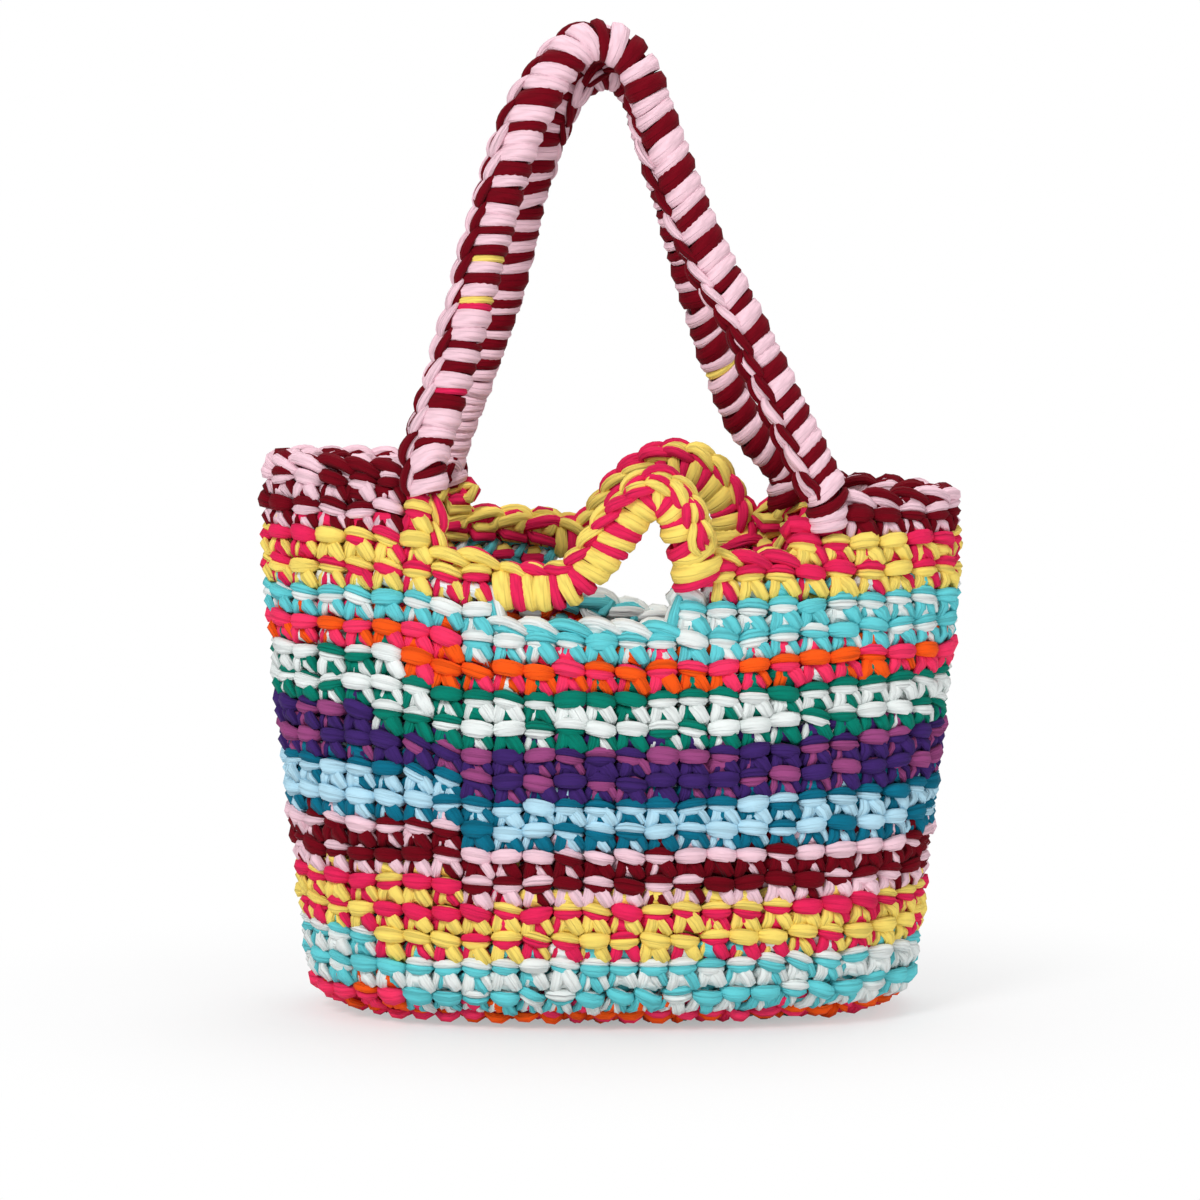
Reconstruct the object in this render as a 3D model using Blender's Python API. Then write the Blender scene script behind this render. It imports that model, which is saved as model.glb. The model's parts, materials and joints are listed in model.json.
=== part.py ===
"""A crocheted tote bag of thick jersey yarn, standing on its base with its handles up.

The body is one long spiral of single crochet with the wrong side outwards. Every colour
band is its own length of yarn, so every band is its own solid, and stitch number n of the
spiral stands one row above stitch n minus one round. Two long wrapped handles rise from
the rim and two short wrapped grips arch over the hand slots.

Metres, +Z up, front towards -Y. The origin is under the middle of the bag, on the surface
that it stands on.
"""

import math

import bmesh
import bpy
import numpy as np
from mathutils import Vector

# Stitches
STITCHES_PER_ROUND = 50
ROW_HEIGHT = 0.0158
BAR_RISE = 0.004
FABRIC_OUTSIDE = 0.005
FABRIC_INSIDE = 0.007
GAP = 0.0003

# Body, measured at the middle of the fabric
BASE_HALF_WIDTH = 0.166
BASE_HALF_DEPTH = 0.075
BASE_EDGE_RADIUS = 0.022
SIDE_FLARE = 0.031
RIM_TUCK = 0.006
RIM_HALF_DEPTH = 0.052
BELLY = 0.014
BASE_SQUARENESS = 2.5
RIM_SQUARENESS = 2.0
WALL_ROWS = 19
LEAN = 0.006

# The back edge hangs lower between its handle feet than the front edge does
BACK_SAG = 0.026
BACK_SAG_STITCH = 28.5
BACK_SAG_SPREAD = 7
BACK_SAG_ROW = 15.6
BACK_SAG_FADE_ROWS = 4

# Where the first stitch of each round stands, to the left of the front's middle
SEAM_FROM_MIDDLE = 0.101

# Handles and grips
HANDLE_RADIUS = 0.0115
HANDLE_RISE = 0.270
HANDLE_BACK_RISE = 0.247
HANDLE_CROWN_SPACING = 0.026
HANDLE_WRAP = 0.019
GRIP_RADIUS = 0.0105
GRIP_RISE = 0.053
GRIP_BACK_RISE = 0.056
GRIP_WRAP = 0.016
GRIP_BULGE = 0.004
WRAP_GROOVE = 0.86
FOOT_STUB = 0.020
SEAT_GAP = 0.0004
GRIP_SEAT = 0.2
UP = Vector((0, 0, 1))

# Stitches at which each colour starts, counted along the spiral
ORANGE_LOWER_START = -25
TURQUOISE_LOWER_START = 49
YELLOW_LOWER_START = 148
BURGUNDY_LOWER_START = 251
BLUE_START = 351
PURPLE_START = 451
GREEN_START = 548
ORANGE_UPPER_START = 649
TURQUOISE_UPPER_START = 701
YELLOW_UPPER_START = 791
BURGUNDY_UPPER_START = 891

# Rounds that carry the slots and the rim, and the stitches of a round where they stand
SLOT_ROUND = 15
GRIP_ROUND = 16
FOOT_ROUND = 17
RIM_ROUND = 18
FRONT_SLOT = (2, 8)
BACK_SLOT = (27, 33)
FRONT_LEFT_FOOT = 0
FRONT_RIGHT_FOOT = 13
BACK_RIGHT_FOOT = 25
BACK_LEFT_FOOT = 36

# Shapes of the handles and grips: share of the way across, share of the rise
HANDLE_FRONT_SHAPE = [(0.0, 0.117), (0.036, 0.233), (0.072, 0.349), (0.121, 0.517), (0.194, 0.728),
                      (0.267, 0.867), (0.352, 0.970), (0.424, 0.995), (0.510, 0.955), (0.562, 0.833),
                      (0.655, 0.612), (0.776, 0.413), (0.873, 0.253), (0.970, 0.110)]
HANDLE_BACK_SHAPE = [(0.055, 0.267), (0.149, 0.487), (0.211, 0.703), (0.288, 0.871), (0.364, 0.965),
                     (0.450, 1.0), (0.523, 0.950), (0.572, 0.835), (0.639, 0.673), (0.702, 0.509),
                     (0.780, 0.331), (0.874, 0.186)]
GRIP_FRONT_SHAPE = [(0.404, 0.034), (0.590, 0.375), (0.733, 0.775), (0.855, 1.0),
                    (0.962, 0.80), (0.995, 0.45)]
GRIP_BACK_SHAPE = [(0.300, 0.300), (0.469, 0.740), (0.675, 1.0), (0.854, 0.940),
                   (0.975, 0.67), (1.0, 0.32)]

ORANGE = (1.0, 0.10, 0.004)
TURQUOISE = (0.07, 0.54, 0.61)
YELLOW = (0.91, 0.61, 0.08)
BURGUNDY = (0.16, 0.002, 0.017)
BLUE = (0.37, 0.68, 0.87)
PURPLE = (0.045, 0.01, 0.16)
GREEN = (0.003, 0.20, 0.11)

BASE_MIDDLE_HEIGHT = FABRIC_OUTSIDE + BAR_RISE
QUARTER_ARC = BASE_EDGE_RADIUS * math.pi / 2
WALL_TOP = BASE_MIDDLE_HEIGHT + BASE_EDGE_RADIUS + WALL_ROWS * ROW_HEIGHT - QUARTER_ARC


def clear_scene():
    for thing in list(bpy.data.objects):
        bpy.data.objects.remove(thing, do_unlink=True)


def yarn_material(name, colour):
    material = bpy.data.materials.new(name)
    material.use_nodes = True
    shader = material.node_tree.nodes["Principled BSDF"]
    shader.inputs["Base Color"].default_value = (*colour, 1.0)
    shader.inputs["Roughness"].default_value = 0.75
    shader.inputs["Metallic"].default_value = 0.0
    material.diffuse_color = (*colour, 1.0)
    return material


# Shape of the body

def meridian(rows):
    """Height of the fabric's middle and its inset from the outline, after so many rows."""
    length = rows * ROW_HEIGHT
    if length <= 0:
        return BASE_MIDDLE_HEIGHT, BASE_EDGE_RADIUS - length
    if length < QUARTER_ARC:
        angle = length / BASE_EDGE_RADIUS
        height = BASE_MIDDLE_HEIGHT + BASE_EDGE_RADIUS * (1 - math.cos(angle))
        return height, BASE_EDGE_RADIUS * (1 - math.sin(angle))
    return BASE_MIDDLE_HEIGHT + BASE_EDGE_RADIUS + length - QUARTER_ARC, 0.0


def outline(share):
    """Half width, half depth and squareness of the bag's outline at a share of its height."""
    tuck = RIM_TUCK * max(0.0, (share - 0.8) / 0.2) ** 2
    half_width = BASE_HALF_WIDTH + SIDE_FLARE * share - tuck
    half_depth = BASE_HALF_DEPTH * (1 - share) + RIM_HALF_DEPTH * share
    half_depth += BELLY * 4 * share * (1 - share)
    squareness = BASE_SQUARENESS * (1 - share) + RIM_SQUARENESS * share
    return half_width, half_depth, squareness


def around(turn, half_width, half_depth, squareness):
    """Point of a rounded outline at a share of its length, from the seam to the right."""
    angles = np.linspace(-math.pi, math.pi, 721)
    across = np.sin(angles)
    along = np.cos(angles)
    x = half_width * np.sign(across) * np.abs(across) ** (2 / squareness)
    y = -half_depth * np.sign(along) * np.abs(along) ** (2 / squareness)
    lengths = np.concatenate([[0.0], np.cumsum(np.hypot(np.diff(x), np.diff(y)))])
    whole = lengths[-1]
    place = (whole / 2 - SEAM_FROM_MIDDLE + turn * whole) % whole
    return float(np.interp(place, lengths, x)), float(np.interp(place, lengths, y))


def back_sag(stitch, rows):
    apart = (stitch - BACK_SAG_STITCH) / BACK_SAG_SPREAD
    if abs(apart) >= 1:
        return 0.0
    window = math.cos(apart * math.pi / 2) ** 2
    if rows <= BACK_SAG_ROW:
        return BACK_SAG * window * max(0.0, rows / BACK_SAG_ROW) ** 2
    return BACK_SAG * window * max(0.0, 1 - (rows - BACK_SAG_ROW) / BACK_SAG_FADE_ROWS) ** 2


def fabric_point(stitch, rows):
    """Middle of the fabric, at a stitch of the round and a number of rows up the wall."""
    height, inset = meridian(rows)
    share = (height - BASE_MIDDLE_HEIGHT) / (WALL_TOP - BASE_MIDDLE_HEIGHT)
    half_width, half_depth, squareness = outline(share)
    turn = stitch / STITCHES_PER_ROUND
    x, y = around(turn, half_width - inset, half_depth - inset, squareness)
    height -= LEAN * share * x / half_width
    height -= back_sag(stitch % STITCHES_PER_ROUND, rows)
    return Vector((x, y, height))


def fabric_frame(stitch, rows):
    """Place, direction along the round, direction up the wall and outward direction."""
    place = fabric_point(stitch, rows)
    along = (fabric_point(stitch + 0.1, rows) - fabric_point(stitch - 0.1, rows)).normalized()
    up = (fabric_point(stitch, rows + 0.1) - fabric_point(stitch, rows - 0.1)).normalized()
    outward = along.cross(up).normalized()
    return place, along, up, outward


def spiral_frame(number):
    """Frame at the lower left corner of stitch number n of the spiral."""
    return fabric_frame(number % STITCHES_PER_ROUND, number / STITCHES_PER_ROUND)


# Bands of stitches

def stitch_corners(number):
    above = number + STITCHES_PER_ROUND
    return (number, number + 1, above + 1, above)


def edge_pull(number, cells):
    """Which way a corner moves to leave half a gap to the next band: right and up."""
    below = number - STITCHES_PER_ROUND
    sides = ((number, 1, 1), (number - 1, -1, 1), (below, 1, -1), (below - 1, -1, -1))
    right = sum(side for cell, side, rise in sides if cell in cells)
    up = sum(rise for cell, side, rise in sides if cell in cells)
    return float(np.sign(right)), float(np.sign(up))


def raise_bars(shell, faces):
    """Turn each stitch's outer face into a bar: a hipped ridge along the row."""
    for face in faces:
        low_left, low_right, high_right, high_left = (vertex.co.copy() for vertex in face.verts)
        outward = face.normal * BAR_RISE
        left = low_left.lerp(high_left, 0.6)
        right = low_right.lerp(high_right, 0.6)
        ridge_left = left.lerp(right, 0.2) + outward
        ridge_right = left.lerp(right, 0.8) + outward
        bmesh.ops.inset_individual(shell, faces=[face], thickness=ROW_HEIGHT * 0.1)
        low_a, low_b, high_b, high_a = face.verts
        bmesh.ops.pointmerge(shell, verts=[low_a, high_a], merge_co=ridge_left)
        bmesh.ops.pointmerge(shell, verts=[low_b, high_b], merge_co=ridge_right)


def thicken(shell, tag, outer_places):
    """Extrude the inner faces of a shell to its outer places, and return the outer faces."""
    inner = list(shell.faces)
    grown = bmesh.ops.extrude_face_region(shell, geom=inner, use_keep_orig=True)["geom"]
    outer = [item for item in grown if isinstance(item, bmesh.types.BMFace)]
    outer_corners = {item for item in grown if isinstance(item, bmesh.types.BMVert)}
    for corner in outer_corners:
        corner.co = outer_places[corner[tag]]
    bmesh.ops.recalc_face_normals(shell, faces=shell.faces[:])
    kept = set(inner) | set(outer)
    for side in [face for face in shell.faces if face not in kept]:
        low = min((vertex for vertex in side.verts if vertex in outer_corners), key=lambda v: v[tag])
        high = max((vertex for vertex in side.verts if vertex not in outer_corners), key=lambda v: v[tag])
        bmesh.utils.face_split(side, low, high)
    return outer


def keep_mesh(name, shell, colour, collection):
    mesh = bpy.data.meshes.new(name)
    shell.to_mesh(mesh)
    shell.free()
    mesh.materials.append(yarn_material(name, colour))
    piece = bpy.data.objects.new(name, mesh)
    collection.objects.link(piece)
    return piece


def band(name, cells, colour, collection):
    """A length of yarn worked into the spiral: one bar for each of its stitches."""
    cells = set(cells)
    shell = bmesh.new()
    tag = shell.verts.layers.int.new("corner")
    corners = {}
    outer_places = {}
    for number in sorted(cells):
        for corner in stitch_corners(number):
            if corner in corners:
                continue
            place, along, up, outward = spiral_frame(corner)
            right, rise = edge_pull(corner, cells)
            place = place + along * right * GAP / 2 + up * rise * GAP / 2
            corners[corner] = shell.verts.new(place - outward * FABRIC_INSIDE)
            corners[corner][tag] = corner
            outer_places[corner] = place + outward * FABRIC_OUTSIDE
    for number in sorted(cells):
        shell.faces.new([corners[corner] for corner in stitch_corners(number)])
    raise_bars(shell, thicken(shell, tag, outer_places))
    return keep_mesh(name, shell, colour, collection)


def stitches(round_number, first, last):
    """Numbers of the stitches of one round from first up to, but not with, last."""
    start = round_number * STITCHES_PER_ROUND
    return range(start + first, start + last)


# Base

def base(name, collection):
    """The flat oval that the spiral starts from, up to the first orange stitch."""
    shell = bmesh.new()
    tag = shell.verts.layers.int.new("corner")
    first = ORANGE_LOWER_START
    count = STITCHES_PER_ROUND
    flat_rows = first / count - 0.5
    inside = BASE_MIDDLE_HEIGHT + FABRIC_INSIDE
    ring = []
    outer_places = {}
    for step in range(count):
        number = first - count + step
        place = fabric_point(number % count, flat_rows)
        ring.append(shell.verts.new((place.x, place.y, inside)))
        ring[-1][tag] = number
        outer_places[number] = Vector((place.x, place.y, 0.0))
    edge = []
    for step in range(count + 1):
        number = first + step
        place, along, up, outward = spiral_frame(number)
        side = {0: -1, count: -1}.get(step, 0)
        place = place - up * GAP / 2 + along * side * GAP / 2
        edge.append(shell.verts.new(place - outward * FABRIC_INSIDE))
        edge[-1][tag] = number
        outer_places[number] = place + outward * BASE_MIDDLE_HEIGHT
    shell.faces.new(ring)
    for step in range(count - 1):
        shell.faces.new([ring[step], ring[step + 1], edge[step + 1], edge[step]])
    shell.faces.new([ring[-1], ring[0], edge[0], edge[-1], edge[-2]])
    thicken(shell, tag, outer_places)
    return keep_mesh(name, shell, GREEN, collection)


# Handles and grips

def smooth_path(points, spacing):
    """Points at even spacing along a smooth curve through the given points."""
    ends = [points[0] * 2 - points[1]] + points + [points[-1] * 2 - points[-2]]
    dense = []
    for before, start, end, after in zip(ends, ends[1:], ends[2:], ends[3:]):
        for share in np.linspace(0, 1, 16, endpoint=False):
            ahead = (end - before) / 2
            behind = (after - start) / 2
            square = share * share
            cube = square * share
            place = start * (2 * cube - 3 * square + 1) + ahead * (cube - 2 * square + share)
            place = place + end * (3 * square - 2 * cube) + behind * (cube - square)
            dense.append(place)
    dense.append(points[-1])
    lengths = np.concatenate([[0.0], np.cumsum([(b - a).length for a, b in zip(dense, dense[1:])])])
    steps = max(2, 2 * round(lengths[-1] / spacing / 2))
    places = np.linspace(0, lengths[-1], steps + 1)
    columns = [np.interp(places, lengths, [point[axis] for point in dense]) for axis in range(3)]
    return [Vector(point) for point in zip(*columns)]


def wrapped_tube(name, points, radius, wrap, colour, collection):
    """A rope wrapped with yarn: thick on each wrap and narrow in the groove between two."""
    curve = bpy.data.curves.new(name, "CURVE")
    curve.dimensions = "3D"
    curve.bevel_depth = radius
    curve.bevel_resolution = 1
    curve.use_fill_caps = True
    spline = curve.splines.new("POLY")
    path = smooth_path(points, wrap / 2)
    spline.points.add(len(path) - 1)
    for index, place in enumerate(path):
        spline.points[index].co = (*place, 1.0)
        spline.points[index].radius = WRAP_GROOVE if index % 2 == 0 else 1.0
    curve.materials.append(yarn_material(name, colour))
    piece = bpy.data.objects.new(name, curve)
    collection.objects.link(piece)
    return piece


def fabric_sides(stitch, rows):
    """The outer and the inner edge of the fabric at a place."""
    place, along, up, outward = fabric_frame(stitch, rows)
    return place + outward * FABRIC_OUTSIDE, place - outward * FABRIC_INSIDE


def seat_on(stitch, round_number, first, last):
    """Place over a stitch on top of a round, clear of the edge from first to last."""
    rows = round_number + 1
    middle = fabric_point(stitch, rows + stitch / STITCHES_PER_ROUND)
    edge = []
    for corner in range(first, last + 1):
        edge += fabric_sides(corner, rows + corner / STITCHES_PER_ROUND)
    return Vector((middle.x, middle.y, max(place.z for place in edge) + SEAT_GAP))


def slot_side(stitch, direction):
    """Place at the side of a grip round stitch that faces a slot, and the way out of it."""
    low = GRIP_ROUND + stitch / STITCHES_PER_ROUND
    place, along, up, outward = fabric_frame(stitch, low + 0.5)
    away = along * direction
    edge = fabric_sides(stitch, low) + fabric_sides(stitch, low + 1)
    reach = max((corner - place).dot(away) for corner in edge)
    return place + away * (reach + SEAT_GAP), away


def stub(foot, direction):
    """The straight start of a rope, square to its seat."""
    return [foot, foot + direction * FOOT_STUB / 2, foot + direction * FOOT_STUB]


def arch(left, right, rise, shape, depth_at):
    """Points between two feet, from shares of the way across and of the rise."""
    points = []
    for across, up in shape:
        foot = left.lerp(right, across)
        points.append(Vector((foot.x, depth_at(foot.y, across, up), foot.z + rise * up)))
    return points


def handle(name, left, right, rise, shape, crown_depth, collection):
    """A long handle from its left foot over its crown to its right foot."""
    def depth_at(depth, across, up):
        return depth + (crown_depth - depth) * up
    points = stub(left, UP) + arch(left, right, rise, shape, depth_at) + stub(right, UP)[::-1]
    wrapped_tube(name, points, HANDLE_RADIUS, HANDLE_WRAP, BURGUNDY, collection)


def grip(name, left, away, right, rise, shape, bulge, collection):
    """A short grip, from the side of one stitch over the slot to the top of another."""
    def depth_at(depth, across, up):
        return depth + bulge * math.sin(math.pi * across)
    points = stub(left, away) + arch(left, right, rise, shape, depth_at) + stub(right, UP)[::-1]
    wrapped_tube(name, points, GRIP_RADIUS, GRIP_WRAP, YELLOW, collection)


def make_bag():
    collection = bpy.data.collections.new("crocheted_tote")
    bpy.context.scene.collection.children.link(collection)

    base("base", collection)
    bands = [("band_orange_lower", ORANGE_LOWER_START, TURQUOISE_LOWER_START, ORANGE),
             ("band_turquoise_lower", TURQUOISE_LOWER_START, YELLOW_LOWER_START, TURQUOISE),
             ("band_yellow_lower", YELLOW_LOWER_START, BURGUNDY_LOWER_START, YELLOW),
             ("band_burgundy_lower", BURGUNDY_LOWER_START, BLUE_START, BURGUNDY),
             ("band_blue", BLUE_START, PURPLE_START, BLUE),
             ("band_purple", PURPLE_START, GREEN_START, PURPLE),
             ("band_green", GREEN_START, ORANGE_UPPER_START, GREEN),
             ("band_orange_upper", ORANGE_UPPER_START, TURQUOISE_UPPER_START, ORANGE)]
    for name, start, end, colour in bands:
        band(name, range(start, end), colour, collection)

    slots = set(stitches(SLOT_ROUND, *FRONT_SLOT)) | set(stitches(SLOT_ROUND, *BACK_SLOT))
    turquoise = set(range(TURQUOISE_UPPER_START, YELLOW_UPPER_START)) - slots
    band("band_turquoise_upper", turquoise, TURQUOISE, collection)

    count = STITCHES_PER_ROUND
    left = set(range(YELLOW_UPPER_START, GRIP_ROUND * count + FRONT_SLOT[0]))
    left |= set(stitches(GRIP_ROUND, BACK_SLOT[1], count + 1))
    left |= set(stitches(FOOT_ROUND, BACK_LEFT_FOOT - 1, BURGUNDY_UPPER_START - FOOT_ROUND * count))
    left |= set(stitches(FOOT_ROUND, count + FRONT_LEFT_FOOT - 1, count + FRONT_LEFT_FOOT + 1))
    band("band_yellow_upper_left", left, YELLOW, collection)

    right = set(stitches(GRIP_ROUND, FRONT_SLOT[1] + 1, BACK_SLOT[0] - 1))
    right |= set(stitches(FOOT_ROUND, FRONT_RIGHT_FOOT - 1, BACK_RIGHT_FOOT + 1))
    band("band_yellow_upper_right", right, YELLOW, collection)

    rim_left = set(range(BURGUNDY_UPPER_START, FOOT_ROUND * count + count + FRONT_LEFT_FOOT - 1))
    rim_left |= set(stitches(RIM_ROUND, BACK_LEFT_FOOT + 1, count + FRONT_LEFT_FOOT - 1))
    band("rim_left", rim_left, BURGUNDY, collection)
    rim_right = stitches(RIM_ROUND, FRONT_RIGHT_FOOT + 1, BACK_RIGHT_FOOT - 1)
    band("rim_right", rim_right, BURGUNDY, collection)

    left_foot = seat_on(count + FRONT_LEFT_FOOT, FOOT_ROUND, count - 1, count + 1)
    right_foot = seat_on(FRONT_RIGHT_FOOT, FOOT_ROUND, FRONT_RIGHT_FOOT - 1, FRONT_RIGHT_FOOT + 1)
    handle("handle_front", left_foot, right_foot, HANDLE_RISE, HANDLE_FRONT_SHAPE,
           -HANDLE_CROWN_SPACING / 2, collection)
    left_foot = seat_on(BACK_LEFT_FOOT, FOOT_ROUND, BACK_LEFT_FOOT - 1, BACK_LEFT_FOOT + 1)
    right_foot = seat_on(BACK_RIGHT_FOOT, FOOT_ROUND, BACK_RIGHT_FOOT - 1, BACK_RIGHT_FOOT + 1)
    handle("handle_back", left_foot, right_foot, HANDLE_BACK_RISE, HANDLE_BACK_SHAPE,
           HANDLE_CROWN_SPACING / 2, collection)

    side, away = slot_side(FRONT_SLOT[0], 1)
    top = seat_on(FRONT_SLOT[1] + GRIP_SEAT, SLOT_ROUND, FRONT_SLOT[1], FRONT_SLOT[1] + 1)
    grip("grip_front", side, away, top, GRIP_RISE, GRIP_FRONT_SHAPE, -GRIP_BULGE, collection)
    side, away = slot_side(BACK_SLOT[1], -1)
    top = seat_on(BACK_SLOT[0] - GRIP_SEAT, SLOT_ROUND, BACK_SLOT[0] - 1, BACK_SLOT[0])
    grip("grip_back", side, away, top, GRIP_BACK_RISE, GRIP_BACK_SHAPE, GRIP_BULGE, collection)


clear_scene()
make_bag()
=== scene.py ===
# %% [markdown]
# # A crocheted tote bag
#
# The real bag is one long spiral of single crochet, worked with two strands of thick jersey
# yarn held together, with the wrong side outwards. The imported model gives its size, its
# colour bands, its two long handles and its two short grips. This lesson dresses that frame
# with the yarn itself: every stitch is part of a real length of yarn, because the bag's whole
# look comes from fat loops, dark gaps between them, and two colours that trade places.

# %% Load the frame
import json
import math

import bmesh
import bpy
import numpy as np
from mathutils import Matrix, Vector

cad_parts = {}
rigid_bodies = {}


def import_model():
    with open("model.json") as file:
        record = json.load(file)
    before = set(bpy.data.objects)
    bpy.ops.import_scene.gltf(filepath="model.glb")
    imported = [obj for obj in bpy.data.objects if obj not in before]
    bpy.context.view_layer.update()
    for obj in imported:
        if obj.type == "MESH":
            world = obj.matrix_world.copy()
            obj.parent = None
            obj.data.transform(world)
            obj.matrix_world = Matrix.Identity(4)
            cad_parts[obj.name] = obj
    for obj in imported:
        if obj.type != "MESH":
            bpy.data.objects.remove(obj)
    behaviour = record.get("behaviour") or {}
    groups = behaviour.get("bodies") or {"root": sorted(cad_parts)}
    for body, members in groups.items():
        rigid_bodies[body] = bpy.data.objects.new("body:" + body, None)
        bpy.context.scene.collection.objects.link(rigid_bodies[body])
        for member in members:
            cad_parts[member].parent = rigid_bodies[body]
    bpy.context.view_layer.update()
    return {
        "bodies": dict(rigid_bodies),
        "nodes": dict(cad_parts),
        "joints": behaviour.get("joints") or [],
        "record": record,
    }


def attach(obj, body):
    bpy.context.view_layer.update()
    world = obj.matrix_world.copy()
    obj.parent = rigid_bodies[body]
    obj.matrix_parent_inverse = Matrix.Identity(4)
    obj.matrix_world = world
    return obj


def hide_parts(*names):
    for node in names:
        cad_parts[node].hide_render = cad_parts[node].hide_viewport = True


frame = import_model()
print("nodes:", sorted(frame["nodes"]))

# %% [markdown]
# ## Camera
#
# The bag is seen from the front, a little from above, through a long lens. The distance and
# the pitch come from how far the rows climb towards the sides and how much of the inside of
# the back edge shows.

# %% Camera
CAMERA_PLACE = (-0.0068, -3.0, 0.632)
CAMERA_PITCH = math.radians(7.5)
LENS = 158.0

lens = bpy.data.cameras.new("camera")
lens.lens = LENS
lens.sensor_width = 36.0
camera = bpy.data.objects.new("camera", lens)
camera.location = CAMERA_PLACE
camera.rotation_euler = (math.pi / 2 - CAMERA_PITCH, 0, 0)
bpy.context.scene.collection.objects.link(camera)
bpy.context.scene.camera = camera
print("camera at", CAMERA_PLACE, "lens", LENS)

# %% [markdown]
# ## Light
#
# Product light for a bright, many-coloured thing is large and soft: one broad lamp from the
# upper left, a weaker one from the right, and one from above.

# %% Lamps
MIDDLE = Vector((0, 0, 0.25))


def area_lamp(name, place, size, power):
    """A round soft lamp that points at the middle of the bag."""
    light = bpy.data.lights.new(name, "AREA")
    light.shape = "DISK"
    light.size = size
    light.energy = power
    lamp = bpy.data.objects.new(name, light)
    lamp.location = place
    lamp.rotation_euler = (MIDDLE - Vector(place)).to_track_quat("-Z", "Y").to_euler()
    bpy.context.scene.collection.objects.link(lamp)


area_lamp("key", (-1.4, -2.1, 2.3), size=1.1, power=54)
area_lamp("fill", (1.9, -1.8, 1.0), size=1.6, power=14)
area_lamp("top", (0.3, 0.6, 2.4), size=1.4, power=20)
print("lamps:", [light.name for light in bpy.data.lights])

# %% [markdown]
# ## Surround
#
# The camera sees plain white, while the bag is lit by a weaker white. A light path node tells
# the two apart.

# %% Surround
WHITE = (1, 1, 1, 1)
SURROUND_STRENGTH = 0.40

bpy.context.scene.view_settings.view_transform = "Standard"
surround = bpy.data.worlds.new("surround")
surround.use_nodes = True
nodes = surround.node_tree.nodes
links = surround.node_tree.links
weak = nodes["Background"]
weak.inputs["Color"].default_value = WHITE
weak.inputs["Strength"].default_value = SURROUND_STRENGTH
seen = nodes.new("ShaderNodeBackground")
seen.inputs["Color"].default_value = WHITE
path = nodes.new("ShaderNodeLightPath")
mixer = nodes.new("ShaderNodeMixShader")
links.new(path.outputs["Is Camera Ray"], mixer.inputs["Fac"])
links.new(weak.outputs["Background"], mixer.inputs[1])
links.new(seen.outputs["Background"], mixer.inputs[2])
links.new(mixer.outputs["Shader"], nodes["World Output"].inputs["Surface"])
bpy.context.scene.world = surround
print("surround of", SURROUND_STRENGTH)

# %% [markdown]
# ## Floor
#
# A white paper sweep carries the bag and its shadow, and one large grid is enough for it.

# %% Floor
FLOOR_SIZE = 12.0

bm = bmesh.new()
bmesh.ops.create_grid(bm, x_segments=1, y_segments=1, size=FLOOR_SIZE / 2)
floor_mesh = bpy.data.meshes.new("floor")
bm.to_mesh(floor_mesh)
bm.free()
floor = bpy.data.objects.new("floor", floor_mesh)
bpy.context.scene.collection.objects.link(floor)
print("floor of", FLOOR_SIZE, "m")

# %% [markdown]
# ## Floor paint
#
# Near the bag the floor is pale matt paper. With distance the camera sees plain white instead,
# so the shadow fades out softly and no horizon shows. The fade is oval, as the bag is.

# %% Floor paint
PAPER = (0.93, 0.93, 0.94, 1)
PAPER_ROUGHNESS = 0.5
WHITE_AT_BAG = 0.35
ALL_WHITE_FROM = 0.34
FADE_OVAL = (0.75, 1.0, 1.0)

paint = bpy.data.materials.new("floor_white")
paint.use_nodes = True
nodes = paint.node_tree.nodes
links = paint.node_tree.links
matt = nodes["Principled BSDF"]
matt.inputs["Base Color"].default_value = PAPER
matt.inputs["Roughness"].default_value = PAPER_ROUGHNESS
glow = nodes.new("ShaderNodeEmission")
glow.inputs["Color"].default_value = WHITE
coords = nodes.new("ShaderNodeTexCoord")
squash = nodes.new("ShaderNodeMapping")
squash.inputs["Scale"].default_value = FADE_OVAL
reach = nodes.new("ShaderNodeVectorMath")
reach.operation = "LENGTH"
fade = nodes.new("ShaderNodeMapRange")
fade.interpolation_type = "SMOOTHSTEP"
fade.inputs["To Min"].default_value = WHITE_AT_BAG
fade.inputs["From Max"].default_value = ALL_WHITE_FROM
path = nodes.new("ShaderNodeLightPath")
both = nodes.new("ShaderNodeMath")
both.operation = "MULTIPLY"
mixer = nodes.new("ShaderNodeMixShader")
links.new(coords.outputs["Object"], squash.inputs["Vector"])
links.new(squash.outputs["Vector"], reach.inputs[0])
links.new(reach.outputs["Value"], fade.inputs["Value"])
links.new(fade.outputs["Result"], both.inputs[0])
links.new(path.outputs["Is Camera Ray"], both.inputs[1])
links.new(both.outputs["Value"], mixer.inputs["Fac"])
links.new(matt.outputs["BSDF"], mixer.inputs[1])
links.new(glow.outputs["Emission"], mixer.inputs[2])
links.new(mixer.outputs["Shader"], nodes["Material Output"].inputs["Surface"])
floor.data.materials.append(paint)
print("paper goes white by", ALL_WHITE_FROM, "m")

# %% [markdown]
# ## Jersey yarn
#
# T-shirt yarn is a strip of cotton jersey that rolls itself into a soft cord, matt, lightly
# fuzzy and wrinkled along its length. The wrinkles run along the strand, so the pattern reads
# its own UV map: U counts the way along it and V goes once round it. A noise stretched along U
# makes folds, which drive the bump, and also darken the colour a little inside them as painted
# shade. A finer noise makes the ribs.

# %% Yarn material
FOLD_STRETCH = (0.11, 9.0, 1.0)
# Between these two values of the fold pattern, the colour goes from painted shade to full.
FOLD_PAINTED_SHADE_EDGES = (0.36, 0.47)
FOLD_DEPTH = 0.003
RIB_STRETCH = (0.35, 34.0, 1.0)
RIB_DEPTH = 0.0003
PATCH_SCALE = 38.0
PATCH_TONES = (0.90, 1.10)


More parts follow.
